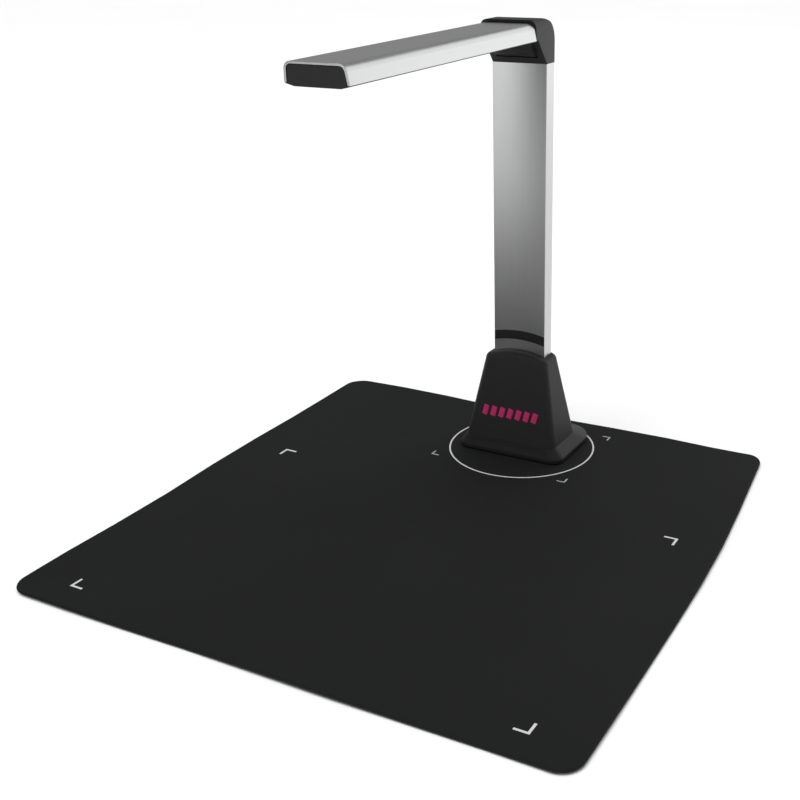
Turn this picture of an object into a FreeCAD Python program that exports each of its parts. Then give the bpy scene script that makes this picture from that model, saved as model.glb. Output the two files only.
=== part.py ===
"""Document camera: a folding L-shaped scanner stand on a printed desk mat.

Frame: millimetres, +Z up, +X to the right of a reader who faces the stand, -Y towards the reader.
The origin is the middle of the mat's underside. The stand, the arm and the button are drawn in the
stand's own frame, whose origin is the centre of the printed ring on the mat's top face.
"""
import FreeCAD, Part
import math
import os
from FreeCAD import Vector

# ---------------------------------------------------------------- driving dimensions (mm)
# Mat
mat_width = 390.0
mat_depth = 402.0
mat_thickness = 2.0
mat_corner_radius = 14.0
ring_to_back_edge = 63.0        # from the ring's centre to the mat's rear edge

# Column: a flat aluminium tube with a shallow scoop along its front
column_width = 42.0
column_depth = 13.0
column_front = -1.0             # y of the front face
column_wall = 1.6
column_scoop = 1.2              # how far the middle of the front lies behind its edges
column_corner_radius = 1.5      # the two rear corners
column_top_z = 292.5            # the upper end, under the elbow

# Trim band let into the column's front
band_height = 7.3
band_bottom_z = 86.0            # at the column's edges
band_rise = 2.2                 # the middle stands this much higher
band_depth = 0.5

# Base: a tapered pedestal on a flared foot
pedestal_top_z = 80.2           # the crown of its arched top
arch_drop = 3.0                 # fall of the arch at the column's sides
pedestal_top_half_width = 24.6
pedestal_top_front = 8.0        # how far it stands in front of the column
pedestal_top_rear = 2.5         # how far it stands behind the column
pedestal_top_corner = 6.0
crease_z = 12.0                 # where the steep sides turn into the foot
crease_half_width = 37.5
crease_front = -21.0
crease_rear = 23.5
crease_corner = 7.0
foot_half_width = 44.0
foot_front = -22.5
foot_rear = 50.0
foot_front_corner = 9.0
foot_rear_corner = 24.0
foot_gap = 0.8                  # air under the rim
shell_wall = 2.4
shoulder_fillet = 4.0
spigot_depth = 3.0              # ring under the pedestal that locates it in the skirt
boss_radius = 3.5

# Inside the base
pad_height = 1.5                # rubber pads under the floor plate
pad_radius = 6.0
floor_thickness = 2.2
ballast_half_width = 28.0
ballast_front = -15.0
ballast_rear = 19.5
ballast_height = 16.0
flange_thickness = 4.0
flange_front = -10.0
socket_height = 38.0            # tongue that the column slides over
cable_slot_half = 7.0

# USB board and its socket
board_thickness = 1.2
usb_board_half_width = 14.0
usb_board_height = 20.0
usb_board_gap = 1.4             # from the column's rear face to the board
usb_centre_z = 26.2
usb_half_width = 4.7
usb_half_height = 1.8

# Elbow and fold hinge, whose axis runs along X
elbow_radius = 16.0
hinge_height = 14.5             # of the axis above the column's upper end
cheek_thickness = 5.0
roof_thickness = 1.7
barrel_radius = 9.5
barrel_air = 0.8                # around the barrel, inside the elbow
pin_radius = 3.0
washer_thickness = 0.8
washer_radius = 8.0
hinge_plug_radius = 5.0
hinge_plug_thickness = 1.5
elbow_tongue_depth = 24.0
elbow_shoulder = 5.0            # rounding of the roof's two long edges
elbow_edge = 0.6                # rounding of the cheeks' other edges
elbow_lip = 2.6                 # the cheek's front edge steps back by this much under the arm
neck_clearance = 30.0           # open length in front of the hinge, between the cheeks

# Arm: h is the height above the hinge axis, s the distance in front of it
arm_reach = 242.0               # s of the tip, at the arm's top
arm_start = 15.0                # s of the elbow's front edge, at the arm's top
arm_rake = 2.0                  # both ends lean: their bottoms lie this much further back
arm_width = 42.0
arm_wall = 1.5
arm_height = 13.5               # from the black underside to the flat top
arm_step = 2.0                  # the elbow's roof stands this much above the arm
arm_flare = 0.8                 # each side is this much wider at the bottom than at the shoulder
arm_shoulder = 4.8
under_thickness = 2.0
under_chamfer = 6.0             # width of the bevel along each edge of the underside
under_margin = 0.2              # the underside is this much narrower than the aluminium, each side
under_rim = 0.5                 # upright edge above the bevel
cap_thickness = 3.0
cap_plug_depth = 10.0
rail_inner = 9.0                # two screw rails under the arm's top, from x = 9 to x = 13
rail_outer = 13.0
rail_depth = 2.5
tongue_length = 31.0

# Camera, light and button, along the arm
camera_s = 205.0
camera_board_half = 14.0
window_radius = 8.5
window_thickness = 1.0
light_s = 160.0
light_half_length = 22.0
light_half_width = 5.0
led_count = 6
led_pitch = 6.5
button_s = 122.0
button_radius = 4.5
button_travel = 0.6
light_board_lift = 3.2          # from the underside's top face up to the light board

# Clearances
seam = 0.3                      # visible gap between neighbouring mouldings
slip = 0.15                     # loose location of one piece in another
running = 0.05                  # radial play of a turning or sliding round piece
thread_play = 0.05              # radial play of a screw in its hole

# ---------------------------------------------------------------- derived places
ring_y = mat_depth / 2 - ring_to_back_edge
column_rear = column_front + column_depth
column_half = column_width / 2
cavity_front = column_front + column_scoop + column_wall
cavity_rear = column_rear - column_wall
cavity_half = column_half - column_wall
hinge_y = column_rear - elbow_radius
hinge_z = column_top_z + hinge_height
floor_bottom_z = pad_height
floor_top_z = floor_bottom_z + floor_thickness
foot_rim_z = floor_top_z + seam          # top of the foot's upright rim
ballast_top_z = floor_top_z + ballast_height
column_foot_z = ballast_top_z + flange_thickness
arm_half = arm_width / 2
arm_side_half = arm_half - arm_flare
arm_under_half = arm_half - under_chamfer
arm_top_h = elbow_radius - arm_step
arm_under_h = arm_top_h - arm_height
arm_edge_h = arm_under_h + under_thickness
arm_top_z = hinge_z + arm_top_h
arm_edge_z = hinge_z + arm_edge_h
arm_under_z = hinge_z + arm_under_h
arm_shoulder_z = arm_top_z - arm_shoulder
rail_z = arm_top_z - arm_wall - rail_depth
cheek_inner = column_half - cheek_thickness
arm_slope = arm_rake / (arm_top_h - arm_under_h)
light_board_z = arm_edge_z + light_board_lift
camera_board_z = rail_z - board_thickness


# ---------------------------------------------------------------- helpers
def box(x0, x1, y0, y1, z0, z1):
    """A block between two corners."""
    return Part.makeBox(x1 - x0, y1 - y0, z1 - z0, Vector(x0, y0, z0))


def rod(centre, radius, length, axis=(0, 0, 1)):
    """A round bar that starts at centre and runs along axis."""
    return Part.makeCylinder(radius, length, Vector(*centre), Vector(*axis))


def outline(half, front, rear, front_corner, rear_corner, z):
    """A rectangle with rounded corners, flat at height z: half is its half width."""
    def arc(cx, cy, r, start):
        turns = (start, start + 45, start + 90)
        points = [Vector(cx + r * math.cos(math.radians(t)), cy + r * math.sin(math.radians(t)), z)
                  for t in turns]
        return Part.Arc(*points).toShape()

    arcs = [
        arc(half - front_corner, front + front_corner, front_corner, -90),
        arc(half - rear_corner, rear - rear_corner, rear_corner, 0),
        arc(rear_corner - half, rear - rear_corner, rear_corner, 90),
        arc(front_corner - half, front + front_corner, front_corner, 180),
    ]
    edges = []
    for here, after in zip(arcs, arcs[1:] + arcs[:1]):
        edges.append(here)
        edges.append(Part.makeLine(here.Vertexes[-1].Point, after.Vertexes[0].Point))
    return Part.Wire(edges)


def slab(wire, height):
    """A plate: a flat outline raised by height."""
    return Part.Face(wire).extrude(Vector(0, 0, height))


def loft(*wires):
    """A solid with straight sides from each outline to the next."""
    return Part.makeLoft(list(wires), True, True)


def side_prism(points, x0, x1):
    """A solid from a closed outline of (y, z) points, straight across from x0 to x1."""
    ring = [Vector(x0, y, z) for y, z in points]
    return Part.Face(Part.makePolygon(ring + ring[:1])).extrude(Vector(x1 - x0, 0, 0))


def cut(body, *tools):
    """The body with each tool's volume taken away."""
    for tool in tools:
        body = body.cut(tool)
    return body


def join(first, *others):
    """Several overlapping solids as one."""
    return first.fuse(list(others)).removeSplitter()


def save(name, *solids, local=True):
    """Write one node's STEP file; local pieces are moved from the stand's frame to the row's."""
    shape = solids[0] if len(solids) == 1 else Part.makeCompound(list(solids))
    if local:
        shape = shape.copy()
        shape.translate(Vector(0, ring_y, mat_thickness))
    shape.exportStep("parts/" + name + ".step")


def screw(centre, axis, shank_radius, length, head_radius, head_height):
    """A pan-head screw: centre is under its head, and axis is the way it drives in."""
    x, y, z = centre
    dx, dy, dz = axis
    back = (-dx, -dy, -dz)
    head = rod(centre, head_radius, head_height, back)
    shank = rod(centre, shank_radius, length, axis)
    slot_depth = 0.4 * head_height
    recess_start = (x - dx * (head_height - slot_depth), y - dy * (head_height - slot_depth),
                    z - dz * (head_height - slot_depth))
    recess = rod(recess_start, 0.45 * head_radius, slot_depth, back)
    return cut(join(head, shank), recess)


# ---------------------------------------------------------------- mat
def make_mat():
    wire = outline(mat_width / 2, -mat_depth / 2, mat_depth / 2, mat_corner_radius, mat_corner_radius, 0)
    save("scan_mat", slab(wire, mat_thickness), local=False)


# ---------------------------------------------------------------- column
def front_arc_face(shift):
    """The solid that fills everything in front of the scooped face, moved back by shift."""
    y = column_front + shift
    left = Vector(-column_half, y, 0)
    middle = Vector(0, y + column_scoop, 0)
    right = Vector(column_half, y, 0)
    far_y = column_front - 10
    lines = [
        Part.Arc(left, middle, right).toShape(),
        Part.makeLine(right, Vector(column_half, far_y, 0)),
        Part.makeLine(Vector(column_half, far_y, 0), Vector(-column_half, far_y, 0)),
        Part.makeLine(Vector(-column_half, far_y, 0), left),
    ]
    return slab(Part.Wire(lines), column_top_z)


def band_prism():
    """A bent strip, arched upwards in its middle, that crosses the column from front to back."""
    def arch(z):
        return Part.Arc(Vector(-column_half, 0, z), Vector(0, 0, z + band_rise), Vector(column_half, 0, z))

    low = arch(band_bottom_z).toShape()
    high = arch(band_bottom_z + band_height).toShape()
    left = Part.makeLine(low.Vertexes[0].Point, high.Vertexes[0].Point)
    right = Part.makeLine(low.Vertexes[-1].Point, high.Vertexes[-1].Point)
    face = Part.Face(Part.Wire([low, right, high, left]))
    strip = face.extrude(Vector(0, column_depth, 0))
    strip.translate(Vector(0, column_front - 1, 0))
    return strip


def make_column():
    tube_height = column_top_z - column_foot_z
    wire = outline(column_half, column_front - 5, column_rear, 1, column_corner_radius, column_foot_z)
    tube = slab(wire, tube_height)
    tube = cut(tube, front_arc_face(0))
    tube = cut(tube, box(-cavity_half, cavity_half, cavity_front, cavity_rear, column_foot_z, column_top_z))
    skin = front_arc_face(band_depth).cut(front_arc_face(0))
    band = band_prism().common(skin)
    cable_notch = box(-cable_slot_half, cable_slot_half, cavity_front + 1, column_rear + 1,
                      column_foot_z + 4, column_foot_z + 9)
    holes = [rod((x, column_rear + 1, z), r, column_wall + 2, (0, -1, 0)) for x, z, r in column_screw_places()]
    save("column_profile", cut(tube, band, cable_notch, *holes))
    save("column_trim_band", band)


def column_screw_places():
    """(x, z, hole radius) of the four screws that hold the column, two at each end."""
    x = (cavity_half + cable_slot_half) / 2
    low = column_foot_z + 0.56 * socket_height
    high = column_top_z - 0.5 * elbow_tongue_depth
    return [(side * x, z, 1.5 + thread_play) for side in (-1, 1) for z in (low, high)]


def make_column_screws():
    """Two screws at the foot, driven forwards from behind into the socket's tongue."""
    low, high = [], []
    for x, z, _ in column_screw_places():
        piece = screw((x, column_rear, z), (0, -1, 0), 1.5, column_wall + 6, 2.75, 1.2)
        (low if z < column_top_z / 2 else high).append(piece)
    save("column_foot_screws", *low)
    save("elbow_screws", *high)


def tongue_prongs(z0, z1):
    """The two prongs that fill the column's inside left and right of the cable slot."""
    front = cavity_front + slip
    rear = cavity_rear - slip
    outer = cavity_half - slip
    prongs = [box(cable_slot_half, outer, front, rear, z0, z1), box(-outer, -cable_slot_half, front, rear, z0, z1)]
    bores = [rod((x, rear + 1, z), 1.5 + thread_play, 7.2, (0, -1, 0)) for x, z, _ in column_screw_places()]
    return [cut(prong, *bores) for prong in prongs]


# ---------------------------------------------------------------- base
def pedestal_outline(z, inset=0.0):
    """The pedestal's outline at a height between its crease and its top."""
    t = (z - crease_z) / (pedestal_top_z - crease_z)
    half = crease_half_width + t * (pedestal_top_half_width - crease_half_width)
    front = crease_front + t * (column_front - pedestal_top_front - crease_front)
    rear = crease_rear + t * (column_rear + pedestal_top_rear - crease_rear)
    corner = crease_corner + t * (pedestal_top_corner - crease_corner) - inset
    return outline(half - inset, front + inset, rear - inset, corner, corner, z)


def foot_outline(z, inset=0.0):
    """The outline of the foot's rim."""
    return outline(foot_half_width - inset, foot_front + inset, foot_rear - inset,
                   foot_front_corner - inset, foot_rear_corner - inset, z)


def arch_prism(crown_z, y0, y1):
    """Everything under a shallow arch across the width, from y0 to y1."""
    radius = (column_half ** 2 + arch_drop ** 2) / (2 * arch_drop)
    drum = rod((0, y0, crown_z - radius), radius, y1 - y0, (0, 1, 0))
    drum.rotate(Vector(0, 0, crown_z - radius), Vector(0, 1, 0), 180)    # its seam line goes to the bottom
    return drum


def pedestal_outer():
    """The outside of the pedestal as one solid: tapered, arched on top, with rounded shoulders."""
    tower = loft(pedestal_outline(crease_z), pedestal_outline(pedestal_top_z + 1))
    tower = tower.common(arch_prism(pedestal_top_z, -60, 60)).Solids[0]
    rim_edges = [e for e in tower.Edges if e.BoundBox.ZMin > pedestal_top_z - arch_drop - 3]
    return tower.makeFillet(shoulder_fillet, rim_edges)


def skirt_outer():
    """The outside of the flared foot as one solid."""
    flare = loft(foot_outline(foot_rim_z), pedestal_outline(crease_z))
    rim = slab(foot_outline(foot_gap), foot_rim_z - foot_gap)
    return join(flare, rim)


def base_screw_places():
    """(x, y) of the four screws that hold the floor plate to the skirt's bosses."""
    front_x = crease_half_width - shell_wall + boss_radius
    rear_x = foot_half_width - 20
    return [(side * x, y) for side in (-1, 1) for x, y in ((front_x, foot_front + 14.5),
                                                            (rear_x, foot_rear - 17))]


def usb_rear_y():
    """How far back the pedestal's rear face lies at the USB socket's height."""
    return pedestal_outline(usb_centre_z).BoundBox.YMax


def usb_board_y():
    """The front face of the upright USB board."""
    return column_rear + usb_board_gap


def usb_screw_places():
    """(x, z) of the USB board's two screws."""
    return [(side * (usb_board_half_width - 3.5), usb_centre_z + 10) for side in (-1, 1)]


def make_pedestal():
    outer = pedestal_outer()
    ceiling_z = pedestal_top_z - arch_drop - shell_wall
    inner = loft(pedestal_outline(crease_z, shell_wall), pedestal_outline(ceiling_z, shell_wall))
    spigot = slab(pedestal_outline(crease_z, shell_wall + slip), -spigot_depth)
    spigot = join(spigot, slab(pedestal_outline(crease_z, shell_wall + slip), 2))
    bore = slab(pedestal_outline(crease_z, shell_wall + slip + 1.4), -spigot_depth)
    bore = join(bore, slab(pedestal_outline(crease_z, shell_wall + slip + 1.4), 2))
    column_hole = box(-column_half - slip, column_half + slip, column_front - slip, column_rear + slip,
                      crease_z, pedestal_top_z + 5)
    usb_hole = box(-usb_half_width - slip, usb_half_width + slip, usb_board_y(), usb_rear_y() + 5,
                   usb_centre_z - usb_half_height - slip, usb_centre_z + usb_half_height + slip)
    shell = cut(outer, inner, column_hole, usb_hole)
    board_rear = usb_board_y() + board_thickness
    bosses = [rod((x, board_rear, z), 2.5, 12, (0, 1, 0)).common(outer) for x, z in usb_screw_places()]
    pilots = [rod((x, board_rear, z), 1.0 + thread_play, 3.2, (0, 1, 0)) for x, z in usb_screw_places()]
    save("pedestal_shell", cut(join(shell, cut(spigot, bore), *bosses), *pilots))


def make_skirt():
    outer = skirt_outer()
    flare = loft(foot_outline(foot_rim_z, shell_wall), pedestal_outline(crease_z, shell_wall))
    rim = slab(foot_outline(foot_gap - 1, shell_wall), foot_rim_z - foot_gap + 1)
    skirt = cut(outer, join(flare, rim))
    bosses = [rod((x, y, floor_top_z), boss_radius, crease_z).common(outer) for x, y in base_screw_places()]
    pilots = [rod((x, y, floor_top_z), 1.45 + thread_play, 3.5) for x, y in base_screw_places()]
    save("foot_skirt", cut(join(skirt, *bosses), *pilots))


def make_base_floor():
    plate = slab(foot_outline(floor_bottom_z, shell_wall + seam), floor_thickness)
    holes = [rod((x, y, floor_bottom_z), 1.7, floor_thickness) for x, y in base_screw_places()]
    save("base_floor_plate", cut(plate, *holes))
    screws = [screw((x, y, floor_bottom_z), (0, 0, 1), 1.45, floor_thickness + 3, 2.4, 1.2)
              for x, y in base_screw_places()]
    save("base_screws", *screws)
    pad_y = (foot_front + shell_wall + seam + 2 + pad_radius, foot_rear - 12 - pad_radius)
    pad_x = (foot_half_width - 22 - pad_radius, 10)
    pads = [rod((side * x, y, 0), pad_radius, pad_height) for side in (-1, 1) for x, y in zip(pad_x, pad_y)]
    save("base_rubber_pads", *pads)


def make_ballast_and_socket():
    block = slab(outline(ballast_half_width, ballast_front, ballast_rear, 4, 4, floor_top_z), ballast_height)
    flange = slab(outline(ballast_half_width, flange_front, column_rear, 3, 3, ballast_top_z), flange_thickness)
    places = [(side * (ballast_half_width - 3.4), y) for side in (-1, 1) for y in (-5.0, 7.0)]
    taps = [rod((x, y, ballast_top_z - 7), 1.5 + thread_play, 7) for x, y in places]
    holes = [rod((x, y, ballast_top_z), 1.6, flange_thickness) for x, y in places]
    tongue_top = column_foot_z + socket_height
    socket = join(cut(flange, *holes), *tongue_prongs(column_foot_z, tongue_top))
    save("ballast_weight", cut(block, *taps))
    save("column_socket", socket)
    screws = [screw((x, y, column_foot_z), (0, 0, -1), 1.5, flange_thickness + 6, 2.6, 1.6) for x, y in places]
    save("socket_screws", *screws)


def make_usb():
    y0 = usb_board_y()
    y1 = y0 + board_thickness
    bottom = ballast_top_z + 0.8
    board = box(-usb_board_half_width, usb_board_half_width, y0, y1, bottom, bottom + usb_board_height)
    holes = [rod((x, y0, z), 1.1, board_thickness, (0, 1, 0)) for x, z in usb_screw_places()]
    save("usb_board", cut(board, *holes))
    screws = [screw((x, y0, z), (0, 1, 0), 1.0, board_thickness + 2.8, 1.9, 0.9) for x, z in usb_screw_places()]
    save("usb_board_screws", *screws)
    mouth_y = usb_rear_y()
    corner = usb_half_height - 0.02

    def pill(half_width, half_height, radius, start, end):
        wire = outline(half_width, -half_height, half_height, radius, radius, 0)
        solid = slab(wire, end - start)
        solid.rotate(Vector(0, 0, 0), Vector(1, 0, 0), -90)
        solid.translate(Vector(0, start, usb_centre_z))
        return solid

    can = pill(usb_half_width, usb_half_height, corner, y1, mouth_y)
    mouth = pill(usb_half_width - 0.25, usb_half_height - 0.25, corner - 0.25, y1 + 1, mouth_y)
    blade = box(-3.3, 3.3, y1, mouth_y - 0.8, usb_centre_z - 0.35, usb_centre_z + 0.35)
    save("usb_socket", join(cut(can, mouth), blade))


def make_column_cable():
    """A flat ribbon up the inside of the column, from the USB board to the elbow."""
    y = (cavity_front + cavity_rear) / 2
    low = column_foot_z + 6
    up = box(-5, 5, y, y + 0.4, low, column_top_z - 1)
    back = box(-5, 5, y, usb_board_y(), low, low + 0.4)
    save("column_ribbon_cable", join(up, back))


# ---------------------------------------------------------------- elbow and hinge
def arm_end_y(h):
    """y of the elbow's front edge at height h above the hinge: it leans like the arm's end."""
    return hinge_y - arm_start + (arm_top_h - h) * arm_slope


def elbow_side():
    """Corners of the elbow's outline seen from the side, before its rear corner is rounded."""
    lip_y = arm_end_y(arm_edge_h)
    return [(column_rear, column_top_z), (column_rear, hinge_z + elbow_radius),
            (arm_end_y(elbow_radius), hinge_z + elbow_radius), (lip_y, hinge_z + arm_edge_h),
            (lip_y + elbow_lip, hinge_z + arm_edge_h - 0.5), (column_front, column_top_z)]


def roof_prism():
    """Everything under a flat roof whose two long edges are rounded, over the elbow's whole length."""
    wire = outline(column_half, 0, hinge_z + elbow_radius, elbow_edge, elbow_shoulder, 0)
    prism = slab(wire, 2 * arm_reach)
    prism.rotate(Vector(0, 0, 0), Vector(1, 0, 0), 90)
    prism.translate(Vector(0, arm_reach, 0))
    return prism


def make_elbow():
    blank = side_prism(elbow_side(), -column_half, column_half)
    corner = [e for e in blank.Edges
              if e.BoundBox.XLength > column_width - 1 and e.BoundBox.YMin > hinge_y and e.BoundBox.ZMin > hinge_z]
    blank = blank.makeFillet(elbow_radius - 0.01, corner)
    trim = [e for e in blank.Edges
            if abs(abs(e.CenterOfMass.x) - column_half) < 0.01 and e.CenterOfMass.z > column_top_z + 0.1]
    blank = blank.makeFillet(elbow_edge, trim).common(roof_prism()).Solids[0]
    barrel_room = rod((-cheek_inner, hinge_y, hinge_z), barrel_radius + barrel_air, 2 * cheek_inner, (1, 0, 0))
    roof_z = hinge_z + elbow_radius - roof_thickness
    neck_front = hinge_y - neck_clearance
    neck_room = box(-cheek_inner, cheek_inner, neck_front, hinge_y, hinge_z - elbow_radius, roof_z)
    under_roof = box(-cheek_inner, cheek_inner, hinge_y - 1, hinge_y + 3, hinge_z, roof_z)
    body = cut(blank, barrel_room, neck_room, under_roof)
    body = join(body, *tongue_prongs(column_top_z - elbow_tongue_depth, column_top_z + 0.5))
    cable_slot = box(-cable_slot_half, cable_slot_half, cavity_front + 1, cavity_rear - 1,
                     column_top_z - 1, column_top_z + 4)
    pin_hole = rod((-column_half, hinge_y, hinge_z), pin_radius + running, column_width - 1.5, (1, 0, 0))
    plug_hole = rod((-column_half, hinge_y, hinge_z), hinge_plug_radius, hinge_plug_thickness, (1, 0, 0))
    save("elbow_housing", cut(body, cable_slot, pin_hole, plug_hole))


def make_hinge():
    pin_start = -column_half + hinge_plug_thickness
    save("hinge_pin", rod((pin_start, hinge_y, hinge_z), pin_radius, -2 * pin_start, (1, 0, 0)))
    save("hinge_plug", rod((-column_half, hinge_y, hinge_z), hinge_plug_radius - running,
                           hinge_plug_thickness, (1, 0, 0)))
    washers = []
    for start in (-cheek_inner, cheek_inner - washer_thickness):
        disc = rod((start, hinge_y, hinge_z), washer_radius, washer_thickness, (1, 0, 0))
        washers.append(cut(disc, rod((start, hinge_y, hinge_z), pin_radius + 0.1, washer_thickness, (1, 0, 0))))
    save("friction_washers", *washers)


# ---------------------------------------------------------------- arm
def arm_envelope(s0, s1, h0, h1, half):
    """A long block along the arm whose two ends lean as the arm's do; s is given at the arm's top."""
    def point(s, h):
        return (hinge_y - s + (arm_top_h - h) * arm_slope, hinge_z + h)

    return side_prism([point(s0, h0), point(s0, h1), point(s1, h1), point(s1, h0)], -half, half)


def arm_section(inset, y):
    """The arm's cross-section: flat top, rounded shoulders, sides that flare slightly downwards."""
    centre_x = arm_side_half - arm_shoulder
    radius = arm_shoulder - inset
    slant = radius * math.sqrt(0.5)
    low = arm_half - inset

    def shoulder(side):
        return Part.Arc(Vector(side * (centre_x + radius), y, arm_shoulder_z),
                        Vector(side * (centre_x + slant), y, arm_shoulder_z + slant),
                        Vector(side * centre_x, y, arm_shoulder_z + radius)).toShape()

    right, left = shoulder(1), shoulder(-1)
    bottom_right = Vector(low, y, arm_edge_z)
    bottom_left = Vector(-low, y, arm_edge_z)
    return Part.Wire([
        Part.makeLine(bottom_right, Vector(centre_x + radius, y, arm_shoulder_z)),
        right,
        Part.makeLine(Vector(centre_x, y, arm_shoulder_z + radius), Vector(-centre_x, y, arm_shoulder_z + radius)),
        left,
        Part.makeLine(Vector(-centre_x - radius, y, arm_shoulder_z), bottom_left),
        Part.makeLine(bottom_left, bottom_right),
    ])


def arm_bar(inset):
    """The arm's section drawn out over more than its whole length."""
    start = hinge_y
    return Part.Face(arm_section(inset, start)).extrude(Vector(0, -arm_reach - 20, 0))


def rail_screw_places():
    """(x, s) of the screws that hold the tongue and the camera board to the rails."""
    x = (rail_inner + rail_outer) / 2
    return [(side * x, s) for side in (-1, 1) for s in (arm_start + 9, arm_start + 23)]


def cover_screw_places():
    x = (rail_inner + rail_outer) / 2
    return [(side * x, s) for side in (-1, 1) for s in (arm_start + tongue_length + 6, arm_reach - 17)]


def camera_screw_places():
    x = (rail_inner + rail_outer) / 2
    reach = camera_board_half - 3.5
    return [(side * x, camera_s + end * reach) for side in (-1, 1) for end in (-1, 1)]


def make_arm_profile():
    tube = arm_bar(0).cut(arm_bar(arm_wall))
    rails = [box(min(a, b), max(a, b), hinge_y - arm_reach - 10, hinge_y, rail_z, arm_top_z - arm_wall / 2)
             for a, b in ((rail_inner, rail_outer), (-rail_inner, -rail_outer))]
    tube = join(tube, *rails)
    rail_end = arm_reach - 12
    tube = tube.common(arm_envelope(arm_start + seam, arm_reach, arm_edge_h, arm_top_h, arm_width))
    clearance_for_cap = box(-15, 15, hinge_y - arm_reach - 5, hinge_y - rail_end, rail_z - 1, arm_top_z - arm_wall)
    pilots = [rod((x, hinge_y - s, rail_z), 1.0 + thread_play, rail_depth - 0.4)
              for x, s in rail_screw_places() + cover_screw_places() + camera_screw_places()]
    save("arm_profile", cut(tube, clearance_for_cap, *pilots))


def make_knuckle():
    """The plastic piece that turns on the pin and carries the arm on its tongue."""
    half = cheek_inner - washer_thickness - running
    barrel = rod((-half, hinge_y, hinge_z), barrel_radius, 2 * half, (1, 0, 0))
    tongue_start = arm_start + seam + 1.5
    neck = box(-half, half, hinge_y - tongue_start - 1, hinge_y, hinge_z + arm_edge_h + slip,
               hinge_z + arm_top_h - arm_wall - slip).common(arm_bar(arm_wall + slip))
    tongue_half = arm_side_half - arm_wall - 2 * slip - 0.6
    tongue_top = rail_z
    tongue = box(-tongue_half, tongue_half, hinge_y - tongue_start - tongue_length, hinge_y - tongue_start,
                 hinge_z + arm_edge_h + 1, tongue_top)
    notches = [box(min(a, b), max(a, b), hinge_y - tongue_start - 3, hinge_y - arm_start + 4,
                   tongue_top, arm_top_z)
               for a, b in ((rail_inner - slip, rail_outer + slip), (slip - rail_inner, -slip - rail_outer))]
    bore = rod((-half, hinge_y, hinge_z), pin_radius + running, 2 * half, (1, 0, 0))
    holes = []
    for x, s in rail_screw_places():
        holes.append(rod((x, hinge_y - s, hinge_z), 1.1, tongue_top - hinge_z))
        holes.append(rod((x, hinge_y - s, hinge_z), 2.1, arm_edge_h + 3))
    save("arm_knuckle", cut(join(barrel, neck, tongue), bore, *notches, *holes))
    seat = hinge_z + arm_edge_h + 3
    screws = [screw((x, hinge_y - s, seat), (0, 0, 1), 1.0, tongue_top - seat + 1.8, 1.9, 1.0)
              for x, s in rail_screw_places()]
    save("knuckle_screws", *screws)


def under_bar():
    """The underside's section, a plate with bevelled long edges, drawn out over more than the arm."""
    top = arm_half - under_margin
    rim_z = arm_edge_z - under_rim
    points = [(-top, arm_edge_z), (-top, rim_z), (-arm_under_half, arm_under_z),
              (arm_under_half, arm_under_z), (top, rim_z), (top, arm_edge_z)]
    ring = [Vector(x, hinge_y, z) for x, z in points]
    return Part.Face(Part.makePolygon(ring + ring[:1])).extrude(Vector(0, -arm_reach - 20, 0))


def slot(half_width, s0, s1, z0, z1, corner):
    """An upright slot through the underside, with rounded corners, between two places along the arm."""
    wire = outline(half_width, hinge_y - s1, hinge_y - s0, corner, corner, z0)
    return slab(wire, z1 - z0)


def make_under_cover():
    plate_front = arm_reach - cap_thickness - slip
    plate = under_bar().common(arm_envelope(arm_start + seam, plate_front, arm_under_h - 1, arm_edge_h, arm_width))
    lip_half = arm_half - arm_wall - 0.4
    lips = [box(min(a, b), max(a, b), hinge_y - arm_reach + 14, hinge_y - arm_start - tongue_length - 4,
                arm_edge_z - 0.5, arm_edge_z + 2.2)
            for a, b in ((lip_half - 1.2, lip_half), (1.2 - lip_half, -lip_half))]
    bosses = [rod((x, hinge_y - s, arm_edge_z - 0.5), 2.7, rail_z - arm_edge_z + 0.5)
              for x, s in cover_screw_places()]
    posts = [rod((0, hinge_y - s, arm_edge_z - 0.5), 2.4, light_board_z - arm_edge_z + 0.5)
             for s in light_screw_places()]
    cover = join(plate, *lips, *bosses, *posts)
    bores = []
    for x, s in cover_screw_places():
        bores.append(rod((x, hinge_y - s, arm_under_z), 1.1, 20))
        bores.append(rod((x, hinge_y - s, arm_under_z), 2.1, 1.1))
    for s in light_screw_places():
        bores.append(rod((0, hinge_y - s, arm_edge_z - 0.5), 0.85 + thread_play, 20))
    window_z = arm_edge_z - window_thickness
    camera_y = hinge_y - camera_s
    bores.append(rod((0, camera_y, arm_under_z - 1), window_radius - 1.6, 5))
    bores.append(rod((0, camera_y, window_z), window_radius + running, 5))
    light_front = light_s - light_half_length
    light_back = light_s + light_half_length
    bores.append(slot(light_half_width, light_front, light_back, arm_under_z - 1, arm_edge_z + 1, 1.5))
    bores.append(slot(light_half_width + 1 + running, light_front - 1 - running, light_back + 1 + running,
                      window_z, arm_edge_z + 1, 1.5))
    bores.append(rod((0, hinge_y - button_s, arm_under_z - 1), button_radius + 0.08, 5))
    save("arm_under_cover", cut(cover, *bores))
    screws = [screw((x, hinge_y - s, arm_under_z + 1.1), (0, 0, 1), 1.0, rail_z - arm_under_z + 0.6, 1.9, 1.0)
              for x, s in cover_screw_places()]
    save("cover_screws", *screws)
    save("camera_window", rod((0, camera_y, window_z), window_radius, window_thickness))
    save("light_diffuser", slot(light_half_width + 1, light_front - 1, light_back + 1, window_z, arm_edge_z, 1.5))


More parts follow.
